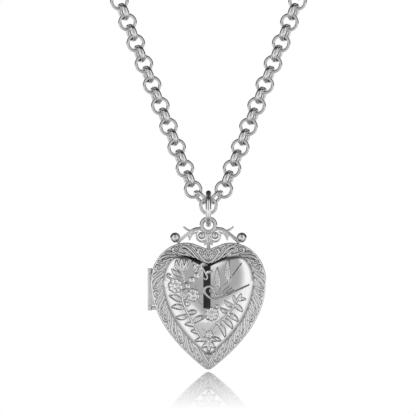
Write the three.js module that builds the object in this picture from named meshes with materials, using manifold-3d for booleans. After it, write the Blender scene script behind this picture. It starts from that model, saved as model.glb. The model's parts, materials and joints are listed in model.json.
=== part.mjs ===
// A heart-shaped locket on a belcher chain. Millimetres, +Z up, the front faces -Y.
// The origin is on the top of the chain's lowest link, where the jump ring bears.
// Every piece above the locket is centred on y = 0; the two halves meet a little in front of that plane.
import * as THREE from 'three';
import { mergeVertices } from 'three/addons/utils/BufferGeometryUtils.js';
import Module from 'manifold-3d';

const wasm = await Module();
wasm.setup();

// Chain of round wire. The strands lean apart by strandLean, and the lowest links lean enough
// to keep strandGap between the two that share the centre link.
const linkInner = 2.66;
const linkWire = 0.72;
const linkGap = 0.2;
const strandGap = 0.336;
const linksPerSide = 20;
const dropLinks = 2;
const strandLean = THREE.MathUtils.degToRad(21.4);
const linkTurn = THREE.MathUtils.degToRad(68);

// Jump ring and eyelet. The ring is as large as the link and the eyelet wire inside it need.
const ringWire = 1.1;
const hangGap = 0.3;
const bailGap = 0.2;
const eyeletOuter = 3.9;
const eyeletWire = 0.95;

// Heart, as its rim's outline. Drops are measured down from the top of the lobes.
const heartDrop = 3.82;
const heartWidth = 25.2;
const heartHeight = 27.73;
const cleftDrop = 1.43;
const lobeSpread = 4.8;
const widestDrop = 8.43;
const tipWidth = 0.9;

// Border between the rim and the dome.
const borderSide = 2.6;
const borderTop = 2.75;
const borderCleft = 3.1;
const borderTip = 3.1;
const domeLobeSpread = 6.1;

// Covers.
const sheet = 0.5;
const frontRise = 2.2;
const backRise = 1.4;
const rimRound = 0.25;
const backLand = 0.4;

// Picture frames, as layers from the parting plane outwards.
const lipDepth = 0.35;
const windowDepth = 0.25;
const cardDepth = 0.2;
const layerGap = 0.075;
const frameGap = 0.12;
const bezelWall = 0.25;
const bezelLip = 1.1;

// Hinge.
const barrelRadius = 0.48;
const barrelBore = 0.31;
const pinRadius = 0.22;
const axisOutset = 0.25;
const barrelDrop = 5.63;
const upperKnuckle = 1.2;
const middleKnuckle = 7.0;
const lowerKnuckle = 1.0;
const knuckleGap = 0.08;
const grooveGap = 0.12;
const leafDepth = 0.75;

// Snap catch.
const catchLength = 4.0;
const catchSheet = 0.2;
const catchReach = 0.7;
const catchNib = 0.05;

// Crest.
const crestDepth = 0.8;
const armRadius = 0.36;
const scrollRadius = 0.24;
const postRadius = 0.4;
const innerBall = 0.95;
const innerBallOut = 1.45;
const innerBallDrop = 2.24;
const outerBall = 1.12;
const outerBallOut = 7.3;
const outerBallLift = 0.3;
const solderGap = 0.06;

// Clasp and end ring.
const claspLength = 9.4;
const claspWidth = 5.4;
const claspDepth = 1.7;
const claspWall = 1.2;
const leverDepth = 0.7;
const leverGap = 0.12;
const rivetRadius = 0.3;
const endRingOuter = 5.2;
const endRingWire = 0.9;

// Worked out from the values above.
const wallReach = 2 - sheet / borderSide;
const heartSteps = 48;
const wireSides = 6;
const rodSides = 6;
const linkSteps = 12;
const partingY = -crestDepth / 2 - 0.1;
const linkOuter = linkInner + 2 * linkWire;
const linkRadius = (linkOuter - linkWire) / 2;
const dropLean = Math.asin((linkWire + strandGap) / (linkInner - linkWire - 2 * linkGap));
const linkPitch = 2 * linkRadius - linkWire - linkGap;
const eyeletRadius = (eyeletOuter - eyeletWire) / 2;
const eyeletHole = eyeletOuter - 2 * eyeletWire;
const ringInner = hangGap + linkOuter + bailGap + eyeletWire + (eyeletHole - ringWire) / 2;
const ringRadius = (ringInner + ringWire) / 2;
const ringZ = hangGap - ringInner / 2;
const eyeletZ = ringZ - ringRadius;
const heartTop = eyeletZ - heartDrop;
const sideDepth = sheet + lipDepth + windowDepth + cardDepth + 4 * layerGap;
const hingeX = -heartWidth / 2 - axisOutset;
const barrelTop = heartTop - barrelDrop;
const barrelLength = upperKnuckle + middleKnuckle + lowerKnuckle;

const silver = { color: 0xd9dadc, roughness: 0.12, metalness: 1 };
const steel = { color: 0xb4b6b9, roughness: 0.3, metalness: 1 };
const acetate = { color: 0xf4f6f6, roughness: 0.05, metalness: 0 };
const cardStock = { color: 0xf1ece2, roughness: 0.85, metalness: 0 };

const locket = new THREE.Group();

// ---- Solids ----

// Removes shading data and collapsed triangles, and turns the faces outwards.
function closed(geometry) {
  const plain = geometry.clone();
  plain.deleteAttribute('normal');
  plain.deleteAttribute('uv');
  const merged = mergeVertices(plain, 1e-4);
  const index = merged.index.array;
  const position = merged.attributes.position;
  const corners = [new THREE.Vector3(), new THREE.Vector3(), new THREE.Vector3()];
  const kept = [];
  let volume = 0;
  for (let i = 0; i < index.length; i += 3) {
    const [a, b, c] = index.subarray(i, i + 3);
    if (a === b || b === c || c === a) continue;
    corners.forEach((corner, k) => corner.fromBufferAttribute(position, index[i + k]));
    volume += corners[0].dot(corners[1].cross(corners[2]));
    kept.push(a, b, c);
  }
  merged.setIndex(volume < 0 ? kept.reverse() : kept);
  return merged;
}

function solid(geometry) {
  const merged = closed(geometry);
  const mesh = new wasm.Mesh({
    numProp: 3,
    vertProperties: new Float32Array(merged.attributes.position.array),
    triVerts: new Uint32Array(merged.index.array),
  });
  return new wasm.Manifold(mesh);
}

function geometryOf(shape) {
  const mesh = shape.getMesh();
  const geometry = new THREE.BufferGeometry();
  geometry.setAttribute('position', new THREE.BufferAttribute(new Float32Array(mesh.vertProperties), 3));
  geometry.setIndex(new THREE.BufferAttribute(new Uint32Array(mesh.triVerts), 1));
  return geometry;
}

function joined(geometries) {
  return geometries.map(solid).reduce((whole, piece) => whole.add(piece));
}

function cut(geometry, cutters) {
  return geometryOf(cutters.map(solid).reduce((rest, cutter) => rest.subtract(cutter), solid(geometry)));
}

function piece(name, geometry, finish, parent = locket) {
  const mesh = new THREE.Mesh(closed(geometry), new THREE.MeshStandardMaterial(finish));
  mesh.name = name;
  parent.add(mesh);
  return mesh;
}

function mirrored(geometry) {
  return geometry.clone().scale(-1, 1, 1);
}

// ---- Heart outline and everything lofted on it ----

// Right half of a heart in (x, z), from the cleft over the lobe and down to the tip.
function heartHalf({ halfWidth, lobe, top, cleft, tip }) {
  const point = (x, z) => new THREE.Vector2(x, z);
  const widest = heartTop - widestDrop;
  const fall = widest - tip;
  const tipEnd = point(tipWidth, tip + tipWidth * 0.4);
  const half = new THREE.CurvePath();
  half.add(new THREE.CubicBezierCurve(
    point(0, cleft),
    point(lobe / 3, cleft + (top - cleft) / 3),
    point(lobe * 0.62, top),
    point(lobe, top),
  ));
  half.add(new THREE.CubicBezierCurve(
    point(lobe, top),
    point(lobe + (halfWidth - lobe) * 0.56, top),
    point(halfWidth, widest + (top - widest) * 0.55),
    point(halfWidth, widest),
  ));
  half.add(new THREE.CubicBezierCurve(
    point(halfWidth, widest),
    point(halfWidth, widest - fall * 0.355),
    point(halfWidth * 0.68, tip + fall * 0.33),
    tipEnd,
  ));
  half.add(new THREE.QuadraticBezierCurve(tipEnd, point(tipWidth * 0.4, tip), point(0, tip)));
  return half;
}

const rimHalf = heartHalf({
  halfWidth: heartWidth / 2,
  lobe: lobeSpread,
  top: heartTop,
  cleft: heartTop - cleftDrop,
  tip: heartTop - heartHeight,
});

const domeHalf = heartHalf({
  halfWidth: heartWidth / 2 - borderSide,
  lobe: domeLobeSpread,
  top: heartTop - borderTop,
  cleft: heartTop - cleftDrop - borderCleft,
  tip: heartTop - heartHeight + borderTip,
});

const heartCentre = new THREE.Vector2(0, heartTop - widestDrop - borderSide);

// Reach 0 is the heart's centre, 1 the dome's outline and 2 the rim. Turn runs from the cleft to the tip.
function heartPoint(reach, turn) {
  const along = Math.min(Math.abs(turn) / Math.PI, 1);
  const dome = domeHalf.getPointAt(along);
  const at = reach <= 1
    ? heartCentre.clone().lerp(dome, reach)
    : dome.clone().lerp(rimHalf.getPointAt(along), reach - 1);
  at.x *= Math.sign(turn) || 1;
  return at;
}

// A lathe profile of [reach, depth] pairs bent onto the heart. Side -1 is the front half, 1 the back.
function heartSolid(profile, side) {
  const points = profile.map(([reach, depth]) => new THREE.Vector2(reach, depth));
  const geometry = new THREE.LatheGeometry(points, heartSteps);
  const position = geometry.attributes.position;
  for (let i = 0; i < position.count; i += 1) {
    const turn = Math.atan2(position.getX(i), position.getZ(i));
    const at = heartPoint(Math.hypot(position.getX(i), position.getZ(i)), turn);
    position.setXYZ(i, at.x, partingY + side * position.getY(i), at.y);
  }
  return geometry;
}

function plate(reach, from, thickness, side) {
  return heartSolid([[0, from], [reach, from], [reach, from + thickness], [0, from + thickness]], side);
}

function heartBand(profile, side) {
  return heartSolid([...profile, profile[0]], side);
}

// Height of the rim's outline at a distance x from the middle, on the lobes.
function rimHeight(x) {
  let low = 0;
  let high = 0.4;
  for (let i = 0; i < 30; i += 1) {
    const middle = (low + high) / 2;
    if (rimHalf.getPointAt(middle).x < x) low = middle;
    else high = middle;
  }
  return rimHalf.getPointAt(low).y;
}

// The room that the whole heart takes up, with a solder gap round its rim.
const heartRoom = plate(2 + solderGap / borderSide, -sideDepth - frontRise, 2 * (sideDepth + frontRise), 1);

// ---- Covers ----

// Height of a dome over the border: flat as far as land, then falling to nothing at reach 1.
function domeHeight(reach, rise, land) {
  const out = Math.max(0, (reach - land) / (1 - land));
  return rise * (1 - out ** 2.2) ** 0.6;
}

function coverProfile(rise, land) {
  const steps = [0, 0.4, 0.62, 0.8, 0.92, 0.98, 1];
  const outside = steps.map((reach) => [reach, sideDepth + domeHeight(reach, rise, land)]);
  const inside = steps.map((reach) => [reach, sideDepth - sheet + domeHeight(reach, rise, land)]);
  return [
    ...outside,
    [2 - rimRound / borderSide, sideDepth],
    [2, sideDepth - rimRound],
    [2, 0],
    [wallReach, 0],
    [wallReach, sideDepth - sheet],
    ...inside.reverse(),
  ];
}


function upright(radius, from, length, sides = 16) {
  return new THREE.CylinderGeometry(radius, radius, length, sides)
    .rotateX(Math.PI / 2)
    .translate(hingeX, partingY, from - length / 2);
}

const hingeGroove = upright(barrelRadius + grooveGap, barrelTop + grooveGap, barrelLength + 2 * grooveGap);

piece('front_cover', cut(heartSolid(coverProfile(frontRise, 0), -1), [hingeGroove]), silver);
piece('back_cover', cut(heartSolid(coverProfile(backRise, backLand), 1), [hingeGroove]), silver);

// ---- Hinge ----

// A knuckle is a tube on the hinge axis, with a leaf that reaches to its own half's side wall.
function knuckle(name, top, length, side) {
  const leafWidth = heartWidth / 4;
  const leaf = new THREE.BoxGeometry(leafWidth, leafDepth, length)
    .translate(hingeX + leafWidth / 2, partingY + side * (leafDepth / 2 + knuckleGap), top - length / 2);
  const body = solid(cut(leaf, [heartRoom])).add(solid(upright(barrelRadius, top, length)));
  piece(name, geometryOf(body.subtract(solid(upright(barrelBore, top + length, 3 * length)))), silver);
}

const middleTop = barrelTop - upperKnuckle;
const lowerTop = middleTop - middleKnuckle;
knuckle('hinge_knuckle_upper', barrelTop, upperKnuckle - knuckleGap, 1);
knuckle('hinge_knuckle_middle', middleTop, middleKnuckle - knuckleGap, -1);
knuckle('hinge_knuckle_lower', lowerTop, lowerKnuckle, 1);
piece('hinge_pin', upright(pinRadius, barrelTop, barrelLength, 12), steel);

// ---- Snap catch ----

const catchFace = wallReach - frameGap / borderSide;
const catchBack = catchFace - catchSheet / borderSide;
const catchZ = heartTop - widestDrop;

function catchSpace(length) {
  return new THREE.BoxGeometry(heartWidth / 2, 4 * sideDepth, length)
    .translate(heartWidth / 2, partingY, catchZ);
}

const catchStrip = heartBand([
  [catchBack, sideDepth - sheet - layerGap],
  [catchBack, -catchReach],
  [catchFace, -catchReach],
  [catchFace + catchNib / borderSide, -catchReach / 2],
  [catchFace, 0],
  [catchFace, sideDepth - sheet - layerGap],
], 1);
piece('snap_catch', geometryOf(solid(catchStrip).intersect(solid(catchSpace(catchLength)))), steel);

// ---- Picture frames ----

const bezelFace = wallReach - frameGap / borderSide;
const bezelInside = bezelFace - bezelWall / borderSide;
const lipReach = bezelFace - bezelLip / borderSide;
const windowReach = bezelInside - frameGap / borderSide;
const lipBack = layerGap + lipDepth;
const windowBack = lipBack + layerGap + windowDepth;
const bezelBack = sideDepth - sheet - layerGap;

// Room for the catch to pass the frames.
const catchNotch = geometryOf(
  solid(heartBand([
    [catchBack - frameGap / borderSide, -sideDepth],
    [2, -sideDepth],
    [2, sideDepth],
    [catchBack - frameGap / borderSide, sideDepth],
  ], 1)).intersect(solid(catchSpace(catchLength + 2 * frameGap))),
);

for (const [half, side] of [['front', -1], ['back', 1]]) {
  const bezel = heartBand([
    [lipReach, layerGap],
    [bezelFace, layerGap],
    [bezelFace, bezelBack],
    [bezelInside, bezelBack],
    [bezelInside, lipBack],
    [lipReach, lipBack],
  ], side);
  piece(`${half}_bezel`, cut(bezel, [catchNotch]), silver);
  piece(`${half}_window`, plate(windowReach, lipBack + layerGap, windowDepth, side), acetate);
  piece(`${half}_picture_card`, plate(windowReach, windowBack + layerGap, cardDepth, side), cardStock);
}

// ---- Rings ----

function torus(radius, wire, around, sides) {
  return new THREE.TorusGeometry(radius, wire / 2, sides, around).rotateX(Math.PI / 2);
}

piece('eyelet', torus(eyeletRadius, eyeletWire, 20, 6).translate(0, 0, eyeletZ), silver);
const jumpRing = piece('jump_ring', torus(ringRadius, ringWire, 24, 8), silver);
jumpRing.position.z = ringZ;
jumpRing.rotation.z = Math.PI / 2;

// ---- Crest ----

// Places on the crest are given as [x, drop below the eyelet's centre].
function at([x, drop]) {
  return new THREE.Vector3(x, 0, eyeletZ - drop);
}

function rod(places, radius, steps) {
  const section = new THREE.Shape().absarc(0, 0, radius, 0, 2 * Math.PI);
  const path = new THREE.CatmullRomCurve3(places.map(at));
  return new THREE.ExtrudeGeometry(section, { steps, curveSegments: rodSides, extrudePath: path });
}

function spike(from, to, radius) {
  const base = at(from);
  const along = at(to).sub(base);
  const upwards = new THREE.Quaternion().setFromUnitVectors(new THREE.Vector3(0, 1, 0), along.clone().normalize());
  return new THREE.CylinderGeometry(radius / 3, radius, along.length(), rodSides)
    .translate(0, along.length() / 2, 0)
    .applyQuaternion(upwards)
    .translate(base.x, base.y, base.z);
}

function ball(radius, place) {
  const centre = at(place);
  return new THREE.SphereGeometry(radius, 12, 7).scale(1, 0.85, 1).translate(centre.x, centre.y, centre.z);
}

// A scroll that wraps under the inner ball, from its outer side round to the eyelet.
const scrollPlaces = [20, -30, -80, -130, -180].map((degrees) => {
  const angle = THREE.MathUtils.degToRad(degrees);
  const wrap = innerBall + scrollRadius / 2;
  return [innerBallOut + wrap * Math.cos(angle), innerBallDrop - wrap * Math.sin(angle)];
});
// The arm comes down over the outer ball's inner side, so its end follows the ball and the rim.
const outerBallDrop = eyeletZ - rimHeight(outerBallOut) - outerBall - outerBallLift;
const armEnd = [
  [outerBallOut - 1.85 * outerBall, outerBallDrop - armRadius],
  [outerBallOut - armRadius, outerBallDrop + 1.4 * outerBall],
];

const crestSide = [
  rod([[1.3, 0.97], [2.3, 0.92], [3.6, 1.32], ...armEnd], armRadius, 8),
  rod([[2.1, 1.52], [3.1, 1.77], [3.7, 2.32], [4.0, 2.92]], scrollRadius, 3),
  rod([...scrollPlaces, [0.7, 1.12]], scrollRadius, 10),
  spike([3.6, 1.32], [5.2, 0.62], armRadius * 0.7),
  spike([3.6, 1.92], [4.1, 3.07], armRadius * 0.8),
  spike([0.2, heartDrop - 0.9], [0.95, heartDrop - 0.1], postRadius * 0.8),
  ball(innerBall, [innerBallOut, innerBallDrop]),
  ball(outerBall, [outerBallOut, outerBallDrop]),
];
const post = rod([[0, 1.92], [0, heartDrop - 0.4], [0, heartDrop + cleftDrop]], postRadius, 2);
const eyeletRoom = torus(eyeletRadius, eyeletWire + 2 * solderGap, 20, 6).translate(0, 0, eyeletZ);
const crest = geometryOf(joined([post, ...crestSide, ...crestSide.map(mirrored)]));
piece('crest', cut(crest, [eyeletRoom, heartRoom]), silver);

// ---- Chain ----

const link = torus(linkRadius, linkWire, linkSteps, wireSides);

function placed(name, geometry, place, lean, turn) {
  const mesh = piece(name, geometry, silver);
  mesh.position.copy(place);
  mesh.rotation.set(0, lean, turn, 'YZX');
}

placed('link_centre', link, new THREE.Vector3(0, 0, -linkOuter / 2), 0, 0);

// The place after the last link of each side, for what ends the strand.
const strandEnds = {};

for (const [name, side] of [['left', -1], ['right', 1]]) {
  const place = new THREE.Vector3(0, 0, -linkOuter / 2);
  for (let number = 1; number <= linksPerSide; number += 1) {
    const lean = side * (number <= dropLinks ? dropLean : strandLean);
    place.add(new THREE.Vector3(Math.sin(lean), 0, Math.cos(lean)).multiplyScalar(linkPitch));
    const turn = number % 2 ? side * linkTurn : 0;
    placed(`link_${name}_${String(number).padStart(2, '0')}`, link, place, lean, turn);
  }
  strandEnds[name] = { place, lean: side * strandLean };
}

// ---- Clasp and end ring ----

function stepOn({ place, lean }, distance) {
  return place.clone().add(new THREE.Vector3(Math.sin(lean), 0, Math.cos(lean)).multiplyScalar(distance));
}

const endRingRadius = (endRingOuter - endRingWire) / 2;
const endRingStep = linkRadius + endRingRadius - (linkWire + endRingWire) / 2 - linkGap;
placed(
  'end_ring',
  torus(endRingRadius, endRingWire, 16, wireSides),
  stepOn(strandEnds.right, endRingStep),
  strandEnds.right.lean,
  Math.PI / 2,
);

// The clasp is drawn upright in its own x-z plane, with its eye at the origin.
const clasp = new THREE.Group();
clasp.position.copy(stepOn(strandEnds.left, linkPitch));
clasp.rotation.set(0, strandEnds.left.lean, Math.PI / 2, 'YZX');
locket.add(clasp);

const claspBase = linkRadius;
const claspMiddle = claspBase + claspLength / 2;
const hookHole = { x: 0, z: claspMiddle + claspWall * 0.8 };
const hookHoleWidth = claspWidth - 2 * claspWall;
const hookHoleHeight = claspLength - 3.6 * claspWall;
const pivot = { x: -claspWidth / 4, z: claspBase + claspLength / 4 };
const gateBottom = hookHole.z - hookHoleHeight / 2;
const gateTop = hookHole.z + hookHoleHeight * 0.3;

function oval(width, height, z, depth) {
  const outline = new THREE.Shape().absellipse(0, 0, width / 2, height / 2, 0, 2 * Math.PI);
  return new THREE.ExtrudeGeometry(outline, { depth, bevelEnabled: false, curveSegments: 24 })
    .rotateX(Math.PI / 2)
    .translate(0, depth / 2, z);
}

function block(left, right, bottom, top, depth) {
  return new THREE.BoxGeometry(right - left, depth, top - bottom)
    .translate((left + right) / 2, 0, (bottom + top) / 2);
}

function rivet(radius, depth) {
  return new THREE.CylinderGeometry(radius, radius, depth, 12).translate(pivot.x, 0, pivot.z);
}

const outside = -claspWidth;
const hook = cut(oval(claspWidth, claspLength, claspMiddle, claspDepth), [
  oval(hookHoleWidth, hookHoleHeight, hookHole.z, 2 * claspDepth),
  block(outside, -hookHoleWidth / 4, gateBottom + claspWall / 2, gateTop, 2 * claspDepth),
  block(outside, pivot.x + claspWall, pivot.z - claspWall, gateTop, leverDepth + 2 * leverGap),
]);
piece('clasp_body', geometryOf(joined([hook, link, rivet(rivetRadius, claspDepth)])), silver, clasp);

const leverBlank = cut(oval(claspWidth, claspLength, claspMiddle, leverDepth), [
  oval(hookHoleWidth + 2 * leverGap, hookHoleHeight, hookHole.z, 2 * claspDepth),
  rivet(rivetRadius + leverGap, 2 * claspDepth),
]);
const leverReach = block(
  outside,
  pivot.x + claspWall * 0.6,
  pivot.z - claspWall * 0.6,
  gateTop - leverGap * 1.5,
  claspDepth,
);
piece('clasp_lever', geometryOf(solid(leverBlank).intersect(solid(leverReach))), silver, clasp);

export default locket;
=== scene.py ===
import json
from math import cos, pi, radians, sin

import bmesh
import bpy
import numpy as np
from mathutils import Matrix, Vector

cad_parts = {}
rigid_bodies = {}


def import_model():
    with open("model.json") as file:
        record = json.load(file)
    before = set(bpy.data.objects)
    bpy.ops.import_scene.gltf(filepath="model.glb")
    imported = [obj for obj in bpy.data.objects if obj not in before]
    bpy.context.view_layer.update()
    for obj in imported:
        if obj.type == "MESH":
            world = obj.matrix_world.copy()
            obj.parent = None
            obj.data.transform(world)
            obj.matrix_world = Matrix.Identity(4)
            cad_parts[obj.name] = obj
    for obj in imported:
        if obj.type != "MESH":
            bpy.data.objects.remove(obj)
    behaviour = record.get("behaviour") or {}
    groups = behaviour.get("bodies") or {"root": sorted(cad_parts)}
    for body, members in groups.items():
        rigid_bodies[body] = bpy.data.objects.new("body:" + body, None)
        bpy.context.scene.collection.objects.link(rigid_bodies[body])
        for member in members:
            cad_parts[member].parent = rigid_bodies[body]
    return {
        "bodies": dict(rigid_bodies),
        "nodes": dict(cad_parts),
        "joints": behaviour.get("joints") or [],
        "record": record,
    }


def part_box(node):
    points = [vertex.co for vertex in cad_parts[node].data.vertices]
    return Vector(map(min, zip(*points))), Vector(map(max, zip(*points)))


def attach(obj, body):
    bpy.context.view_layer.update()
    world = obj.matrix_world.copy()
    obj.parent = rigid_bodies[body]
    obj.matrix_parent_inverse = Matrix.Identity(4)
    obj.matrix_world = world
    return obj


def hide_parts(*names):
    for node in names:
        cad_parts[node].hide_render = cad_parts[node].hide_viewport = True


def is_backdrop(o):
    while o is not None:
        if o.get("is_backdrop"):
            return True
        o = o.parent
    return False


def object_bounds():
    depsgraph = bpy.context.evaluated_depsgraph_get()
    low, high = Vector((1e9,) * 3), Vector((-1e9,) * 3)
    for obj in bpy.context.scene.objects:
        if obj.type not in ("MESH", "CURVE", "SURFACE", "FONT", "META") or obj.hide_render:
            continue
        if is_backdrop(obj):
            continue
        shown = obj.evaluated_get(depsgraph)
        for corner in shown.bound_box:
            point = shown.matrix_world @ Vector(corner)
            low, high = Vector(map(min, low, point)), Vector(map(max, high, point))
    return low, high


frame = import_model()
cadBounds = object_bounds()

mm = 0.001
scene = bpy.context.scene
nodes = frame["nodes"]


def middle(node):
    low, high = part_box(node)
    return (low + high) / 2


# ---- camera ----

shot = {
    "distance": 0.62,
    "pictureWidth": 0.0912,  # what the picture spans at the locket
    "aimX": -0.0001,
    "aimZ": -0.0025,
    "sensor": 36,
    "nearest": 0.01,
    "farthest": 20,
}


def makeCamera(s):
    data = bpy.data.cameras.new("camera")
    data.sensor_width = s["sensor"]
    data.lens = data.sensor_width * s["distance"] / s["pictureWidth"]
    data.clip_start = s["nearest"]
    data.clip_end = s["farthest"]
    camera = bpy.data.objects.new("camera", data)
    camera.location = (s["aimX"], -s["distance"], s["aimZ"])
    camera.rotation_euler = (pi / 2, 0, 0)
    scene.collection.objects.link(camera)
    scene.camera = camera


makeCamera(shot)
scene.view_settings.view_transform = "Standard"
print("camera ready")


# ---- shader helpers ----

class Flow:
    # a value on its way through a material's nodes; + - * / add Math nodes
    def __init__(self, tree, socket):
        self.tree = tree
        self.socket = socket

    def node(self, kind, settings=None, inputs=None, out=0):
        made = self.tree.nodes.new(kind)
        for key, value in (settings or {}).items():
            setattr(made, key, value)
        for key, value in (inputs or {}).items():
            self.feed(made.inputs[key], value)
        return Flow(self.tree, made.outputs[out])

    def feed(self, socket, value):
        if isinstance(value, Flow):
            self.tree.links.new(value.socket, socket)
        else:
            socket.default_value = value

    def maths(self, operation, first, second):
        return self.node("ShaderNodeMath", {"operation": operation}, {0: first, 1: second})

    def size(self):
        return self.maths("ABSOLUTE", self, 0)

    def __add__(self, other):
        return self.maths("ADD", self, other)

    def __radd__(self, other):
        return self.maths("ADD", other, self)

    def __sub__(self, other):
        return self.maths("SUBTRACT", self, other)

    def __rsub__(self, other):
        return self.maths("SUBTRACT", other, self)

    def __mul__(self, other):
        return self.maths("MULTIPLY", self, other)

    def __rmul__(self, other):
        return self.maths("MULTIPLY", other, self)


def newMaterial(name):
    material = bpy.data.materials.new(name)
    material.use_nodes = True
    tree = material.node_tree
    tree.nodes.clear()
    start = Flow(tree, None)
    shader = tree.nodes.new("ShaderNodeBsdfPrincipled")
    output = tree.nodes.new("ShaderNodeOutputMaterial")
    tree.links.new(shader.outputs[0], output.inputs[0])
    return material, start, shader


def objectPlace(start, scale=(1, 1, 1)):
    place = start.node("ShaderNodeTexCoord", out="Object")
    return start.node("ShaderNodeMapping", {}, {"Vector": place, "Scale": scale})


def noise(start, place, scale, detail, roughness=0.5):
    return start.node("ShaderNodeTexNoise", {}, {
        "Vector": place, "Scale": scale, "Detail": detail, "Roughness": roughness})


def blendColour(start, share, first, second):
    return start.node("ShaderNodeMix", {"data_type": "RGBA"}, {0: share, 6: first, 7: second}, out=2)


def ramp(start, value, low, high, smoothly=True):
    # 0 at low and 1 at high
    settings = {"interpolation_type": "SMOOTHSTEP"} if smoothly else {}
    return start.node("ShaderNodeMapRange", settings, {
        "Value": value, "From Min": low, "From Max": high, "To Min": 0.0, "To Max": 1.0})


# ---- materials ----

silverLook = {
    "bright": (0.91, 0.91, 0.915, 1),
    "dull": (0.8, 0.8, 0.81, 1),
    # dark oxide of the relief's hollows, also used as painted shade and painted reflection
    "oxideAndShade": (0.035, 0.035, 0.038, 1),
    "polish": 0.055,
    "haze": 0.07,
    "scratchHeight": 0.0000012,
}


def polishedSilver(name, look, chased=False):
    # hand polish leaves faint cross scratches and a slight haze; chased work keeps dark oxide low down in its
    # relief, and the same dark colour is painted shade and painted reflection along the fold and under the
    # dome's upper edge
    material, start, shader = newMaterial(name)
    place = objectPlace(start)
    cloud = noise(start, place, 140, 4)
    fine = noise(start, objectPlace(start, (1, 1, 6)), 5200, 2)
    cross = noise(start, objectPlace(start, (7, 1, 1.4)), 4300, 2)
    colour = blendColour(start, cloud * 0.6, look["bright"], look["dull"])
    rough = cloud * look["haze"] + fine * look["haze"] * 0.5 + look["polish"]
    if chased:
        # the recess attribute holds oxide in the relief, and painted shade and painted reflection in the fold
        # and under the dome's upper edge
        recess = start.node("ShaderNodeAttribute", {"attribute_name": "recess"}, out="Fac")
        low = ramp(start, recess, 0.15, 0.95)
        oxideAndShadeShare = low * (cloud * 0.3 + 0.85)
        colour = blendColour(start, oxideAndShadeShare, colour, look["oxideAndShade"])
        rough = rough + low * 0.25
    start.feed(shader.inputs["Base Color"], colour)
    start.feed(shader.inputs["Roughness"], rough)
    shader.inputs["Metallic"].default_value = 1
    bump = start.node("ShaderNodeBump", {}, {
        "Height": fine + cross, "Strength": 0.35, "Distance": look["scratchHeight"]})
    start.feed(shader.inputs["Normal"], bump)
    return material


steelLook = {
    "dark": (0.5, 0.51, 0.52, 1),
    "light": (0.66, 0.67, 0.68, 1),
    "drawHeight": 0.000002,
}


def drawnSteel(name, look):
    # die lines run along the wire
    material, start, shader = newMaterial(name)
    drawn = noise(start, objectPlace(start, (5, 5, 0.4)), 3000, 3)
    start.feed(shader.inputs["Base Color"], blendColour(start, drawn, look["dark"], look["light"]))
    start.feed(shader.inputs["Roughness"], drawn * 0.2 + 0.2)
    shader.inputs["Metallic"].default_value = 1
    bump = start.node("ShaderNodeBump", {}, {"Height": drawn, "Strength": 0.4, "Distance": look["drawHeight"]})
    start.feed(shader.inputs["Normal"], bump)
    return material


sheetLook = {
    "clean": (0.97, 0.98, 0.98, 1),
    "rubbed": (0.9, 0.92, 0.92, 1),
    "blend": 0.35,
    "index": 1.49,
}


def clearSheet(name, look):
    # thin clear sheet: mostly open, glossier at a slant, with faint rub marks
    material, start, shader = newMaterial(name)
    rub = noise(start, objectPlace(start, (1, 1, 3)), 900, 3)
    slant = start.node("ShaderNodeLayerWeight", {}, {"Blend": look["blend"]}, out="Fresnel")
    start.feed(shader.inputs["Base Color"], blendColour(start, rub, look["clean"], look["rubbed"]))
    start.feed(shader.inputs["Roughness"], rub * 0.08 + 0.02)
    start.feed(shader.inputs["Alpha"], slant * 0.6 + rub * 0.04 + 0.06)
    shader.inputs["IOR"].default_value = look["index"]
    return material


cardLook = {
    "light": (0.90, 0.87, 0.80, 1),
    "dark": (0.80, 0.76, 0.68, 1),
    "cloud": (0.84, 0.80, 0.73, 1),
    "fibreHeight": 0.00002,
}


def blankCard(name, look):
    material, start, shader = newMaterial(name)
    fibre = noise(start, objectPlace(start, (1, 1, 2.5)), 2600, 6, 0.7)
    cloud = noise(start, objectPlace(start), 260, 3)
    colour = blendColour(start, fibre, look["light"], look["dark"])
    colour = blendColour(start, cloud * 0.4, colour, look["cloud"])
    start.feed(shader.inputs["Base Color"], colour)
    start.feed(shader.inputs["Roughness"], fibre * 0.15 + 0.75)
    bump = start.node("ShaderNodeBump", {}, {"Height": fibre, "Strength": 0.5, "Distance": look["fibreHeight"]})
    start.feed(shader.inputs["Normal"], bump)
    return material


# painted shade: a darker, slightly rougher copy of the polished silver for the chain, crest, eyelet, hinge
# knuckles, clasp and lever
shadedWireLook = {
    **silverLook,
    "bright": (0.78, 0.78, 0.785, 1),
    "dull": (0.6, 0.6, 0.61, 1),
    "polish": 0.08,
    "haze": 0.1,
}

chasedSilver = polishedSilver("chased silver", silverLook, True)
plainSilver = polishedSilver("polished silver", silverLook)
shadedWireSilver = polishedSilver("shaded silver wire", shadedWireLook)
steel = drawnSteel("drawn steel", steelLook)
windowSheet = clearSheet("clear sheet", sheetLook)
cardStock = blankCard("blank card", cardLook)
print("materials ready")


# ---- making pieces ----

def place(name, mesh, body, slot, material, replaced, smoothAngle=None):
    mesh.name = name
    piece = bpy.data.objects.new(name, mesh)
    scene.collection.objects.link(piece)
    mesh.materials.clear()
    mesh.materials.append(material)
    mesh.shade_smooth()
    if smoothAngle:
        mesh.set_sharp_from_angle(angle=radians(smoothAngle))
    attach(piece, body)
    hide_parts(*replaced)
    return piece


def meshOf(bm, name):
    mesh = bpy.data.meshes.new(name)
    bm.to_mesh(mesh)
    bm.free()
    return mesh


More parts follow.
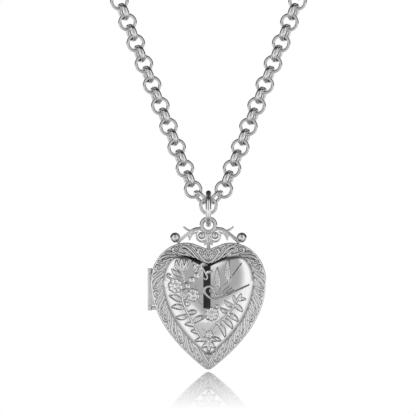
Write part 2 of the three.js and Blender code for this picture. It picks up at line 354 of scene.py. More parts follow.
def wireRing(bm, radius, wire, matrix, around=48, sides=14, wide=1.0):
    # a round or wide section spun about Z, then turned into place
    section = bmesh.ops.create_circle(bm, segments=sides, radius=wire / 2)["verts"]
    upright = Matrix.Diagonal((1, 1, wide, 1)) @ Matrix.Rotation(pi / 2, 4, "X")
    bmesh.ops.transform(bm, verts=section, matrix=Matrix.Translation((radius, 0, 0)) @ upright)
    edges = list({e for v in section for e in v.link_edges})
    before = set(bm.verts) - set(section)
    bmesh.ops.spin(bm, geom=section + edges, cent=(0, 0, 0), axis=(0, 0, 1), angle=2 * pi,
                   steps=around, use_merge=True, use_duplicate=False)
    bmesh.ops.transform(bm, verts=[v for v in bm.verts if v not in before], matrix=matrix)


# ---- chain ----

chain = {
    "wire": 0.72 * mm,
    "wide": 1.62,            # the wire's width over its thickness
    "outer": 4.1 * mm,
    "dropLean": radians(43.3),
    "lean": radians(21.4),
    "turn": radians(68),
    "count": 20,
    "dropLinks": 2,
    "pitch": 2.46 * mm,
    "roundLinks": 1,         # links next to the ring in plain round wire
    "pathEnd": 0.8,          # how far the left path runs past its last link, as a share of a link
    "pathStart": 0.2 * mm,   # the right path starts beside the left one
}


def linkFrame(centre, lean, turn):
    upright = Matrix.Rotation(pi / 2, 4, "X")
    leaning = Matrix.Rotation(lean, 4, "Y") @ Matrix.Rotation(turn, 4, "Z")
    return Matrix.Translation(centre) @ leaning @ upright


def strand(side, c):
    # the links of one side; the left one also has the link that the ring hangs on
    bm = bmesh.new()
    sign = -1 if side == "left" else 1
    radius = (c["outer"] - c["wire"]) / 2
    names = [f"link_{side}_{number:02d}" for number in range(1, c["count"] + 1)]
    path = [middle("link_centre")] + [middle(name) for name in names]
    for number, name in enumerate(names, 1):
        lean = sign * (c["dropLean"] if number <= c["dropLinks"] else c["lean"])
        turn = sign * c["turn"] if number % 2 else 0
        wide = c["wide"] if number > c["roundLinks"] else 1.0
        wireRing(bm, radius, c["wire"], linkFrame(middle(name), lean, turn), wide=wide)
    if side == "left":
        wireRing(bm, radius, c["wire"], linkFrame(middle("link_centre"), 0, 0))
        names.append("link_centre")
    bmesh.ops.recalc_face_normals(bm, faces=bm.faces)
    piece = place(f"{side}Chain", meshOf(bm, f"{side}Chain"), "chain", "chain_silver", shadedWireSilver, names)
    return piece, path


leftChain, leftPath = strand("left", chain)
rightChain, rightPath = strand("right", chain)
print("chain made")


# ---- heart outlines ----

heart = {
    "parting": -0.5,
    "top": -10.07,
    "widest": 8.43,
    "tipWidth": 0.9,
    "halfWidth": 12.6,
    "lobe": 4.8,
    "cleft": 1.43,
    "height": 27.73,
    "borderSide": 2.6,
    "borderTop": 2.75,
    "borderCleft": 3.1,
    "borderTip": 3.1,
    "domeLobe": 6.1,
    "depth": 1.6,
    "sheet": 0.5,
    "rimRound": 0.25,
    "groove": 0.6,
    "seam": 0.012,           # each half stops this short of the parting plane
}


def cubic(points, count=400):
    t = np.linspace(0, 1, count)[:, None]
    a, b, c, d = (np.array(p, float) for p in points)
    return a * (1 - t) ** 3 + 3 * b * t * (1 - t) ** 2 + 3 * c * t ** 2 * (1 - t) + d * t ** 3


def heartHalf(h, halfWidth, lobe, top, cleft, tip):
    # right half of the outline in x and z, from the cleft over the lobe and down to the tip
    widest = h["top"] - h["widest"]
    fall = widest - tip
    end = np.array((h["tipWidth"], tip + h["tipWidth"] * 0.4))
    low = np.array((h["tipWidth"] * 0.4, tip))
    point = np.array((0, tip))
    runs = [
        cubic([(0, cleft), (lobe / 3, cleft + (top - cleft) / 3), (lobe * 0.62, top), (lobe, top)]),
        cubic([(lobe, top), (lobe + (halfWidth - lobe) * 0.56, top),
               (halfWidth, widest + (top - widest) * 0.55), (halfWidth, widest)]),
        cubic([(halfWidth, widest), (halfWidth, widest - fall * 0.355),
               (halfWidth * 0.68, tip + fall * 0.33), end]),
        cubic([end, end + (low - end) * 2 / 3, point + (low - point) * 2 / 3, point], 60),
    ]
    line = np.concatenate([runs[0]] + [run[1:] for run in runs[1:]])
    run = np.concatenate([[0], np.cumsum(np.hypot(*np.diff(line, axis=0).T))])
    return line, run


def bothOutlines(h):
    # the rim, the dome inside its border and the point they shrink to
    cleft, tip = h["top"] - h["cleft"], h["top"] - h["height"]
    rim = heartHalf(h, h["halfWidth"], h["lobe"], h["top"], cleft, tip)
    dome = heartHalf(h, h["halfWidth"] - h["borderSide"], h["domeLobe"], h["top"] - h["borderTop"],
                     cleft - h["borderCleft"], tip + h["borderTip"])
    return *rim, *dome, np.array((0, h["top"] - h["widest"] - h["borderSide"]))


rimLine, rimRun, domeLine, domeRun, heartCentre = bothOutlines(heart)


def heartPoint(reach, turn):
    # reach is 0 at the heart's centre, 1 at the dome's outline and 2 at the rim; turn runs cleft to tip
    along = np.minimum(np.abs(turn) / pi, 1)
    dome = np.stack([np.interp(along * domeRun[-1], domeRun, domeLine[:, i]) for i in (0, 1)], 1)
    rim = np.stack([np.interp(along * rimRun[-1], rimRun, rimLine[:, i]) for i in (0, 1)], 1)
    inner = heartCentre + (dome - heartCentre) * reach[:, None]
    outer = dome + (rim - dome) * (reach[:, None] - 1)
    at = np.where(reach[:, None] <= 1, inner, outer)
    at[:, 0] *= np.where(turn < 0, -1, 1)
    return at


def domeHeight(reach, rise, land):
    out = np.clip((reach - land) / (1 - land), 0, 1)
    return rise * (1 - out ** 2.2) ** 0.6


def spunProfile(profile, steps):
    # a profile of reach and depth, spun once round; ends on the axis close at a pole
    bm = bmesh.new()
    verts = [bm.verts.new((reach, 0, depth)) for reach, depth in profile]
    edges = [bm.edges.new(pair) for pair in zip(verts, verts[1:])]
    bmesh.ops.spin(bm, geom=verts + edges, cent=(0, 0, 0), axis=(0, 0, 1), angle=2 * pi,
                   steps=steps, use_merge=True, use_duplicate=False)
    bmesh.ops.remove_doubles(bm, verts=bm.verts, dist=0.00002)
    return bm


def heartMesh(name, profile, steps, side, shape=None):
    # bends a spun profile onto the heart; shape may then move the points and give each a recess value
    bm = spunProfile(profile, steps)
    mesh = meshOf(bm, name)
    at = np.empty(len(mesh.vertices) * 3, np.float32)
    mesh.vertices.foreach_get("co", at)
    at = at.reshape(-1, 3).astype(float)
    reach = np.hypot(at[:, 0], at[:, 1])
    turn = np.arctan2(at[:, 1], -at[:, 0])
    flat = heartPoint(reach, turn)
    depth = at[:, 2]
    low = np.zeros(len(at))
    if shape:
        depth, low = shape(reach, turn, flat, depth)
    out = np.stack([flat[:, 0], heart["parting"] + side * depth, flat[:, 1]], 1)
    out = clearOfBarrel(out)
    mesh.vertices.foreach_set("co", (out * mm).astype(np.float32).ravel())
    mesh.attributes.new("recess", "FLOAT", "POINT").data.foreach_set("value", low.astype(np.float32))
    bm = bmesh.new()
    bm.from_mesh(mesh)
    bmesh.ops.recalc_face_normals(bm, faces=bm.faces)
    bm.to_mesh(mesh)
    bm.free()
    return mesh


def clearOfBarrel(at):
    # the covers are hollowed out along the hinge barrel
    pivot = middle("hinge_pin") / mm
    half = (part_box("hinge_pin")[1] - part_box("hinge_pin")[0])[2] / 2 / mm + 0.1
    away = at[:, :2] - np.array(pivot)[:2]
    span = np.hypot(*away.T)
    room = heart["groove"]
    inside = (span < room) & (np.abs(at[:, 2] - pivot[2]) < half)
    at[inside, :2] += (away * (room / np.maximum(span, 0.01) - 1)[:, None])[inside]
    return at


# ---- relief ----

def smooth(value):
    value = np.clip(value, 0, 1)
    return value * value * (3 - 2 * value)


def curve(points, count=28):
    # a smooth line through the points
    points = np.array(points, float)
    ends = np.concatenate([[2 * points[0] - points[1]], points, [2 * points[-1] - points[-2]]])
    made = []
    for a, b, c, d in zip(ends, ends[1:], ends[2:], ends[3:]):
        t = np.linspace(0, 1, max(3, count // (len(points) - 1)), endpoint=False)[:, None]
        made.append(0.5 * (2 * b + (c - a) * t + (2 * a - 5 * b + 4 * c - d) * t ** 2
                           + (3 * b - a - 3 * c + d) * t ** 3))
    return np.concatenate(made + [points[-1:]])


class Relief:
    # raised work over points of a surface, in mm; edge is the distance out from the nearest raised shape
    def __init__(self, u, v):
        self.at = np.stack([u, v], 1)
        self.height = np.zeros(len(u))
        self.edge = np.full(len(u), 9.0)  # far from any shape
        self.cut = np.zeros(len(u))

    def near(self, points, margin):
        low, high = points.min(0) - margin, points.max(0) + margin
        return np.flatnonzero(np.all((self.at > low) & (self.at < high), axis=1))

    def inside(self, points, widths):
        # depth inside a stroke whose half width changes along it, where it is near
        chosen = self.near(points, max(widths) + 0.7)
        at = self.at[chosen]
        best = np.full(len(chosen), -9.0)
        for a, b, wa, wb in zip(points, points[1:], widths, widths[1:]):
            along = b - a
            share = np.clip((at - a) @ along / max(along @ along, 1e-9), 0, 1)
            span = np.hypot(*(at - a - share[:, None] * along).T)
            best = np.maximum(best, wa + (wb - wa) * share - span)
        return chosen, best

    def lift(self, chosen, depth, height, soft=0.16):
        raised = height * smooth(depth / soft + 0.5)
        self.height[chosen] = np.maximum(self.height[chosen], raised)
        self.edge[chosen] = np.minimum(self.edge[chosen], -depth)

    def carve(self, chosen, depth, amount, dark, soft=0.1):
        sunk = smooth(depth / soft + 0.5)
        self.height[chosen] -= amount * sunk
        self.cut[chosen] = np.maximum(self.cut[chosen], dark * sunk)

    def stroke(self, points, start, end, height, count=28, soft=0.16):
        line = curve(points, count)
        widths = np.linspace(start, end, len(line))
        self.lift(*self.inside(line, widths), height, soft)

    def leaf(self, base, tip, width, bend, height):
        # a raised outline and midrib with the blade sunk between them
        base, tip = np.array(base, float), np.array(tip, float)
        along = tip - base
        across = np.array((-along[1], along[0]))
        share = np.linspace(0, 1, 16)
        spine = base + share[:, None] * along + (np.sin(pi * share) * bend)[:, None] * across
        swell = width / 2 * np.sin(pi * share ** 0.8) ** 0.8
        self.lift(*self.inside(spine, swell + 0.03), height)
        chosen, depth = self.inside(spine, np.maximum(swell - 0.17, -0.3))
        self.carve(chosen, depth, height * 0.55, 0.55)
        chosen, depth = self.inside(spine[1:13], np.linspace(0.07, 0.03, 12))
        self.lift(chosen, depth, height * 0.9, 0.1)
        self.cut[chosen] *= 1 - smooth(depth / 0.06 + 0.5)

    def flower(self, centre, radius, petals, turn, eye=0.36, height=0.24):
        centre = np.array(centre, float)
        chosen = self.near(np.array([centre]), radius + 0.7)
        away = self.at[chosen] - centre
        span = np.hypot(*away.T)
        bearing = np.arctan2(away[:, 1], away[:, 0]) + turn
        lobe = np.abs(np.cos(petals * bearing / 2))
        edge = radius * (0.8 + 0.2 * lobe ** 0.6)
        self.lift(chosen, edge - span, height)
        split = smooth((0.34 - lobe) / 0.2) * smooth((span - radius * eye) / 0.12)
        dish = smooth(lobe * 1.2 - 0.25) * smooth((span - radius * (eye + 0.1)) / 0.15)
        dish *= smooth((edge - 0.16 - span) / 0.12)
        seat = np.exp(-((span - radius * eye) / 0.09) ** 2)
        self.height[chosen] -= height * (0.5 * split + 0.4 * dish + 0.55 * seat)
        self.cut[chosen] = np.maximum(self.cut[chosen], 0.85 * split + 0.25 * dish)
        self.cut[chosen] = np.maximum(self.cut[chosen], 0.9 * seat)
        boss = np.clip(1 - (span / (radius * eye * 0.8)) ** 2, 0, 1) ** 0.5
        self.height[chosen] = np.maximum(self.height[chosen], boss * (height + 0.03))

    def berry(self, centre, radius, height=0.24):
        centre = np.array(centre, float)
        chosen = self.near(np.array([centre]), radius + 0.6)
        span = np.hypot(*(self.at[chosen] - centre).T)
        ball = height * np.clip(1 - (span / radius) ** 2, 0, 1) ** 0.5
        self.height[chosen] = np.maximum(self.height[chosen], ball)
        self.edge[chosen] = np.minimum(self.edge[chosen], span - radius)

    def recess(self, reach=0.2):
        # dark beside raised shapes and in cuts
        beside = np.where(self.edge > 0, np.exp(-(self.edge / reach) ** 2), np.exp(-(self.edge / 0.06) ** 2))
        return np.clip(np.maximum(beside, self.cut), 0, 1)


# ---- front cover ----

frontCover = {
    "steps": 560,
    "domeRings": 92,
    "borderRings": 30,
    "rise": 2.2,
    "land": 0.0,             # share of the middle that stays flat
    "valley": 0.46,          # share of the dome's height lost at the crease
    "valleyReach": 9.0,
    "valleyTop": -14.0,
    "valleyEnd": -27.5,
    "foldMiddle": -0.33,
    "foldHalf": 0.8,
    "foldLow": -24.4,
    "edgeShade": [  # painted shade and painted reflection under the dome's upper edge, as points and half widths
        ([(-6.0, -12.85), (-4.4, -13.15), (-3.0, -13.8), (-1.8, -14.5), (-0.5, -15.15)],
         [0.06, 0.26, 0.52, 0.42, 0.4]),
        ([(0.35, -14.95), (1.6, -14.4), (3.0, -13.7), (4.9, -12.8)], [0.32, 0.2, 0.17, 0.05]),
    ],
    "height": 0.23,
    "relieved": 0.55,        # how dark the oxide beside the relief is
    "stems": [
        ([(-5.76, -16.5), (-5.4, -17.3), (-5.3, -18.5), (-5.8, -19.5), (-5.84, -21.2), (-5.5, -23.2),
          (-4.8, -24.9), (-3.9, -26.7), (-2.0, -30.2)], 0.13, 0.19),
        ([(-7.5, -18.1), (-8.3, -17.9), (-8.95, -17.4), (-8.7, -16.85), (-8.3, -17.15)], 0.15, 0.1),
        ([(-3.4, -14.4), (-2.3, -14.9), (-1.2, -15.8), (-0.5, -16.9), (-0.25, -17.6), (-0.6, -18.1),
          (-1.0, -17.75)], 0.24, 0.12),
        ([(-5.4, -19.0), (-4.4, -18.6), (-3.5, -18.0), (-2.6, -17.3)], 0.1, 0.08),
        ([(-5.7, -20.4), (-4.9, -20.1), (-4.5, -19.5)], 0.1, 0.08),
        ([(-5.5, -23.2), (-5.0, -23.1), (-4.6, -23.3)], 0.1, 0.08),
        ([(-5.6, -22.8), (-4.9, -22.4), (-4.2, -21.9)], 0.11, 0.09),
        ([(6.7, -21.9), (5.9, -23.4), (4.9, -24.8), (3.3, -26.5), (1.4, -28.0)], 0.1, 0.2),
        ([(1.4, -28.0), (0.8, -28.8), (0.3, -29.5)], 0.19, 0.14),
        ([(-2.0, -30.2), (-1.2, -30.9), (-0.2, -31.3)], 0.18, 0.14),
    ],
    "leaves": [  # base, tip, width, bend
        ((-5.8, -16.4), (-5.9, -13.5), 1.0, 0.0),
        ((-5.75, -16.4), (-7.0, -13.9), 0.85, 0.16),
        ((-5.85, -16.4), (-4.8, -13.8), 0.85, -0.16),
        ((-5.5, -17.4), (-8.0, -15.8), 0.95, 0.12),
        ((-6.0, -22.9), (-8.5, -21.7), 1.15, -0.1),
        ((-5.5, -24.4), (-8.0, -24.1), 1.1, -0.1),
        ((-4.7, -25.9), (-7.1, -26.3), 1.05, 0.1),
        ((-4.5, -25.6), (-2.6, -25.2), 0.95, 0.1),
        ((-3.3, -27.4), (-0.7, -26.3), 1.0, 0.12),
        ((-3.2, -28.1), (-5.1, -27.9), 0.9, -0.12),
        ((-2.3, -29.7), (-3.8, -29.3), 0.8, -0.1),
        ((-2.5, -14.8), (-3.1, -16.4), 0.85, -0.12),
        ((-1.6, -15.4), (-1.9, -17.0), 0.7, -0.1),
        ((-1.9, -15.1), (-0.2, -14.9), 0.75, 0.1),
        ((-0.6, -16.8), (0.8, -16.4), 0.7, 0.1),
        ((5.5, -23.9), (3.5, -22.7), 0.85, 0.1),
        ((4.5, -25.2), (2.6, -24.3), 0.85, 0.1),
        ((5.7, -23.7), (7.3, -25.1), 0.95, 0.1),
        ((4.3, -25.7), (6.4, -27.2), 1.05, 0.1),
        ((3.2, -26.6), (5.2, -28.8), 1.0, 0.1),
        ((2.1, -27.6), (3.6, -30.6), 0.95, 0.1),
        ((6.3, -22.6), (7.1, -21.2), 0.6, -0.1),
        ((6.1, -23.0), (5.5, -21.6), 0.6, 0.1),
        ((6.6, -22.6), (8.1, -22.4), 0.65, 0.1),
        ((-0.3, -31.2), (-2.9, -31.5), 0.95, -0.12),
        ((0.5, -31.2), (2.7, -31.4), 0.95, 0.12),
        ((0.1, -31.3), (0.1, -33.8), 0.95, 0.0),
        ((-0.1, -31.3), (-1.4, -32.9), 0.7, 0.1),
        ((0.3, -31.3), (1.5, -33.0), 0.7, -0.1),
    ],
    "flowers": [  # centre, radius, petals, turn
        ((-7.23, -19.5), 1.55, 8, 0.2),
        ((-3.33, -21.5), 1.42, 6, 0.3),
        ((0.7, -25.6), 1.5, 8, 0.0),
        ((0.17, -30.07), 0.88, 6, 0.2),
    ],
    "berries": [  # centre, radius
        (-2.55, -17.2, 0.62), (-3.6, -18.15, 0.62), (-4.5, -19.5, 0.58), (-4.6, -23.4, 0.5), (1.9, -24.0, 0.4),
    ],
    "bird": [  # points, half width at the start and the end
        ([(-0.95, -20.75), (-0.8, -20.05), (-0.1, -19.62), (0.65, -19.7), (1.12, -20.3), (1.3, -21.1),
          (1.9, -21.75)], 0.3, 0.16),
        ([(-0.95, -20.75), (-0.35, -21.5), (0.5, -22.2), (1.3, -22.35), (2.7, -21.95), (4.9, -21.1),
          (8.8, -19.25)], 0.26, 0.07),
        ([(1.9, -21.75), (2.3, -20.9), (3.0, -19.8), (4.3, -18.8), (4.75, -18.15)], 0.13, 0.13),
        ([(4.4, -18.6), (5.5, -17.0), (7.2, -14.6)], 0.14, 0.06),
        ([(2.6, -21.4), (3.5, -20.4), (4.5, -19.6)], 0.09, 0.07),
        ([(3.3, -21.3), (4.2, -20.5), (5.1, -19.95)], 0.09, 0.07),
        ([(4.0, -21.1), (4.8, -20.7), (5.6, -20.35)], 0.09, 0.06),
    ],
    "birdLeaves": [
        ((2.35, -20.0), (1.95, -15.5), 1.05, 0.05),
        ((4.35, -18.6), (4.35, -13.7), 1.15, 0.04),
    ],
    "birdEye": (0.62, -20.5, 0.4),  # centre, radius
    "birdEyeWire": 0.1,
}

border = {
    "pitch": 5.6,
    "height": 0.3,
    "rimLine": 2.2,
    "darkness": 0.85,
    "strokes": [  # distances along and across the border, half width at the start and the end
        ([(0.0, 0.1), (1.2, 0.3), (2.3, 1.1), (2.2, 1.85), (1.55, 1.95), (1.35, 1.4)], 0.3, 0.2),
        ([(2.4, 0.0), (3.4, 0.5), (4.3, 1.4), (5.5, 2.1)], 0.22, 0.3),
        ([(3.7, 0.05), (4.7, 0.5), (5.5, 1.2)], 0.2, 0.28),
        ([(2.75, 1.15), (3.2, 1.7), (3.8, 2.2)], 0.18, 0.24),
        ([(0.15, 1.0), (0.45, 1.5), (0.6, 2.1)], 0.22, 0.2),
    ],
}


def borderRelief(reach, turn, flat, b):
    # scrolled leaves that repeat along the border, drawn over the distances along and across it
    along = np.abs(turn) / pi * (rimRun[-1] + domeRun[-1]) / 2
    across = np.clip(reach - 1, 0, 1) * heart["borderSide"]
    work = Relief(along % b["pitch"], across)
    for points, start, end in b["strokes"]:
        work.stroke(points, start, end, b["height"], 48, 0.24)
    work.carve(np.arange(len(across)), 0.06 - np.abs(across - b["rimLine"]), 0.06, 0.7)
    plainRim = smooth((b["rimLine"] + 0.1 - across) / 0.08)
    # painted shade: the dark in the border's recesses is painted stronger along the top than down the sides
    top = smooth((flat[:, 1] - heart["top"] + 9.0) / 6.0)
    return work.height * plainRim, work.recess(0.16) * plainRim * b["darkness"] * (0.65 + 0.35 * top)


def crease(x, z, c):
    # the puffed heart folds in along its middle, deepest at the cleft
    down = np.clip((z - c["valleyEnd"]) / (c["valleyTop"] - c["valleyEnd"]), 0, 1.1)
    side = np.maximum(np.abs(x - c["foldMiddle"]) - c["foldHalf"], 0)
    across = np.clip(1 - side / c["valleyReach"], 0, 1) ** 1.9
    return c["valley"] * down * across


def drawFront(flat, c):
    work = Relief(flat[:, 0], flat[:, 1])
    for points, start, end in c["stems"]:
        work.stroke(points, start, end, c["height"] * 0.8, 48)
    for leaf in c["leaves"]:
        work.leaf(*leaf, c["height"])
    for flower in c["flowers"]:
        work.flower(*flower)
    for x, z, radius in c["berries"]:
        work.berry((x, z), radius)
    for points, start, end in c["bird"]:
        work.stroke(points, start, end, c["height"], 48)
    for leaf in c["birdLeaves"]:
        work.leaf(*leaf, c["height"])
    x, z, radius = c["birdEye"]
    ring = [(x + radius * cos(k), z + radius * sin(k)) for k in np.linspace(0, 2 * pi, 14)]
    work.stroke(ring, c["birdEyeWire"], c["birdEyeWire"], c["height"], 56)
    return work


def foldShade(flat, c):
    # painted shade and painted reflection along the floor of the fold and under the dome's upper edge
    x, z = flat[:, 0], flat[:, 1]
    floor = smooth((c["foldHalf"] - np.abs(x - c["foldMiddle"])) / 0.1 + 0.5)
    floor = floor * smooth((z - c["foldLow"]) / 0.25 + 0.5)
    work = Relief(x, z)
    for points, widths in c["edgeShade"]:
        line = curve(points, 40)
        spread = np.interp(np.linspace(0, 1, len(line)), np.linspace(0, 1, len(widths)), widths)
        work.carve(*work.inside(line, spread), 0, 1)
    return np.maximum(floor, work.cut)


def coverShape(c, draw):
    # what bends a cover's points: its crease, its drawn relief, and the border's, on the outside only
    def shape(reach, turn, flat, depth):
        dome = domeHeight(reach, c["rise"], c["land"])
        deep = heart["depth"]
        outside = np.where(reach <= 1, np.abs(depth - deep - dome) < 0.06, depth > deep - 0.3)
        fold = crease(flat[:, 0], flat[:, 1], c) if "valley" in c else 0
        fade = smooth((1 - reach) / 0.09)
        lift = np.zeros(len(reach))
        low = np.zeros(len(reach))
        if draw:
            work = draw(flat, c)
            lift = work.height * fade
            bare = smooth(1 - work.height / 0.1)
            # oxide beside the relief, with painted shade and painted reflection in the fold and under the
            # dome's upper edge where the relief is bare
            low = np.maximum(work.recess() * fade * c["relieved"], foldShade(flat, c) * bare)
        onBorder = reach > 1
        edgeLift, edgeLow = borderRelief(reach, turn, flat, border)
        lift = np.where(onBorder, edgeLift, lift) * outside
        low = np.where(onBorder, edgeLow, low) * outside
        low = np.maximum(low, 0.45 * outside * np.exp(-((reach - 1.005) / 0.018) ** 2))
        depth = depth - np.where(reach < 1, dome * fold, 0) + lift
        return depth, low
    return shape


def coverProfile(c):
    # from the dome's middle out to the rim, down its side, and back along the inner face
    land = c["land"]
    deep = heart["depth"]
    sheet = heart["sheet"]
    dome = 1 - (1 - np.linspace(0, 1, c["domeRings"])) ** 1.12
    inner = np.linspace(1, 0, 12)
    profile = [(reach, deep + domeHeight(reach, c["rise"], land)) for reach in dome]
    roundShare = heart["rimRound"] / heart["borderSide"]
    profile += [(reach, deep) for reach in np.linspace(1.012, 2 - roundShare, c["borderRings"])]
    for angle in np.linspace(0.25, 1, 4) * pi / 2:
        profile.append((2 - roundShare * (1 - sin(angle)), deep - heart["rimRound"] * (1 - cos(angle))))
    wall = 2 - sheet / heart["borderSide"]
    seam = heart["seam"]
    profile += [(2, depth) for depth in (1.1, 0.8, 0.5, 0.25, 0.06)]
    floor = deep - sheet
    profile += [(2 - 0.02, seam), (wall + 0.02, seam), (wall, seam + 0.05), (wall, 0.5)]
    profile += [(wall, floor - 0.05), (wall - 0.02, floor)]
    profile += [(reach, floor + domeHeight(reach, c["rise"], land)) for reach in inner]
    return profile


frontMesh = heartMesh("frontCover", coverProfile(frontCover), frontCover["steps"], -1,
                      coverShape(frontCover, drawFront))
place("frontCover", frontMesh, "cover", "silver", chasedSilver, ["front_cover"], 40)
print("front cover made")


# ---- back cover ----

backCover = {
    "steps": 360,
    "domeRings": 34,
    "borderRings": 26,
    "rise": 1.4,
    "land": 0.4,             # share of the middle that stays flat
}

backMesh = heartMesh("backCover", coverProfile(backCover), backCover["steps"], 1, coverShape(backCover, None))
place("backCover", backMesh, "locket", "silver", chasedSilver, ["back_cover"], 40)
print("back cover made")


# ---- crest, eyelet and jump ring ----

crest = {
    "grain": 0.05,
    "roundness": 0.9,
    "strokes": [  # points of the right side, radius at the start and the end
        ([(1.35, -7.2), (2.0, -7.05), (2.9, -7.15), (3.65, -7.5), (5.0, -8.55), (6.1, -9.45),
          (6.6, -9.95)], 0.4, 0.42),
        ([(3.0, -7.3), (3.9, -7.55), (4.6, -7.3), (5.35, -6.75)], 0.36, 0.27),
        ([(2.3, -7.75), (2.9, -7.95), (3.5, -8.3), (3.9, -8.85), (4.12, -9.4)], 0.2, 0.24),
        ([(3.5, -7.9), (4.0, -8.1), (4.3, -8.5), (4.12, -9.3)], 0.3, 0.24),
        ([(2.62, -8.25), (2.55, -9.05), (2.05, -9.68), (1.35, -9.85), (0.65, -9.5), (0.28, -8.8),
          (0.3, -8.1), (0.62, -7.6)], 0.24, 0.27),
        ([(0.15, -9.2), (0.5, -9.6), (0.98, -9.95)], 0.36, 0.27),
        ([(0.1, -9.9), (0.5, -10.15), (0.78, -10.5)], 0.3, 0.22),
    ],
    "post": ([(0, -8.2), (0, -9.2), (0, -10.2), (0, -11.35)], 0.34, 0.46),
    "balls": [((1.45, -8.55), 0.86), ((7.3, -8.98), 1.1)],
}


def bead(bm, x, y, z, radius, flatten, fine):
    made = bmesh.ops.create_icosphere(bm, subdivisions=fine, radius=1)["verts"]
    size = Matrix.Diagonal((radius * mm, radius * flatten * mm, radius * mm, 1))
    bmesh.ops.transform(bm, verts=made, matrix=Matrix.Translation((x * mm, y * mm, z * mm)) @ size)


beadSpacing = 0.09


def beadRun(bm, points, start, end):
    # a tapering rod as overlapping beads, to be fused into one casting
    line = curve([(x, 0, z) for x, z in points], 60)
    run = np.concatenate([[0], np.cumsum(np.linalg.norm(np.diff(line, axis=0), axis=1))])
    for gone in np.linspace(0, run[-1], max(3, int(run[-1] / beadSpacing))):
        x, y, z = (np.interp(gone, run, line[:, i]) for i in range(3))
        bead(bm, x, y, z, start + (end - start) * gone / run[-1], 1.0, 1)


def fused(piece, grain, rounds):
    # a casting: overlapping beads made one skin, then smoothed
    remesh = piece.modifiers.new("skin", "REMESH")
    remesh.mode = "VOXEL"
    remesh.voxel_size = grain * mm
    remesh.use_smooth_shade = True
    soften = piece.modifiers.new("soften", "SMOOTH")
    soften.factor = 0.6
    soften.iterations = rounds


def makeCrest(c):
    bm = bmesh.new()
    for sign in (-1, 1):
        for points, start, end in c["strokes"]:
            beadRun(bm, [(sign * x, z) for x, z in points], start, end)
        for (x, z), radius in c["balls"]:
            bead(bm, sign * x, 0, z, radius, c["roundness"], 4)
    beadRun(bm, *c["post"])
    piece = place("crest", meshOf(bm, "crest"), "locket", "silver", shadedWireSilver, ["crest"])
    fused(piece, c["grain"], 3)


makeCrest(crest)

rings = {
    "ringWire": 1.04 * mm,
    "ringWide": 1.15,        # the wire's width over its thickness
    "ringRadius": 3.55 * mm,
    "eyeletWire": 0.93 * mm,
    "eyeletRadius": 1.475 * mm,
    "endWire": 0.9 * mm,
    "endRadius": 2.15 * mm,
    "steps": 128,
    "sides": 32,
}


def makeRing(r, name, node, frame, radius, wire, wide, body, slot, material):
    bm = bmesh.new()
    wireRing(bm, radius, wire, frame, r["steps"], r["sides"], wide)
    bmesh.ops.recalc_face_normals(bm, faces=bm.faces)
    place(name, meshOf(bm, name), body, slot, material, [node])


def makeRings(r):
    facingX = Matrix.Translation(middle("jump_ring")) @ Matrix.Rotation(pi / 2, 4, "Y")
    facingY = Matrix.Translation(middle("eyelet")) @ Matrix.Rotation(pi / 2, 4, "X")
    makeRing(r, "jumpRing", "jump_ring", facingX, r["ringRadius"], r["ringWire"], r["ringWide"],
             "bail_ring", "bail_silver", plainSilver)
    makeRing(r, "eyelet", "eyelet", facingY, r["eyeletRadius"], r["eyeletWire"], 1.0,
             "locket", "silver", shadedWireSilver)
    makeRing(r, "endRing", "end_ring", linkFrame(middle("end_ring"), chain["lean"], pi / 2),
             r["endRadius"], r["endWire"], 1.0, "chain", "chain_silver", shadedWireSilver)


makeRings(rings)
print("crest and rings made")


# ---- hinge ----

hinge = {
    "barrel": 0.47 * mm,
    "bore": 0.31 * mm,
    "pin": 0.22 * mm,
    "bevel": 0.06 * mm,
    "leaf": 0.3 * mm,
    "leafGap": 0.08 * mm,    # from the parting plane
    "steps": 48,
}


def tube(bm, x, y, low, high, outer, inner, bevel, steps):
    # a bevelled tube about an upright axis; no bore where inner is 0
    outline = [(inner, low + bevel), (inner + bevel, low), (outer - bevel, low), (outer, low + bevel),
               (outer, high - bevel), (outer - bevel, high), (inner + bevel, high), (inner, high - bevel)]
    if not inner:
        outline = [(0, low)] + outline[2:6] + [(0, high)]
    verts = [bm.verts.new((radius, 0, z)) for radius, z in outline]
    pairs = list(zip(verts, verts[1:] + (verts[:1] if inner else [])))
    edges = [bm.edges.new(pair) for pair in pairs if pair[0] != pair[1]]
    bmesh.ops.spin(bm, geom=verts + edges, cent=(0, 0, 0), axis=(0, 0, 1), angle=2 * pi, steps=steps,
                   use_merge=True, use_duplicate=False)
    bmesh.ops.remove_doubles(bm, verts=bm.verts, dist=1e-7)
    bmesh.ops.translate(bm, verts=bm.verts, vec=(x, y, 0))


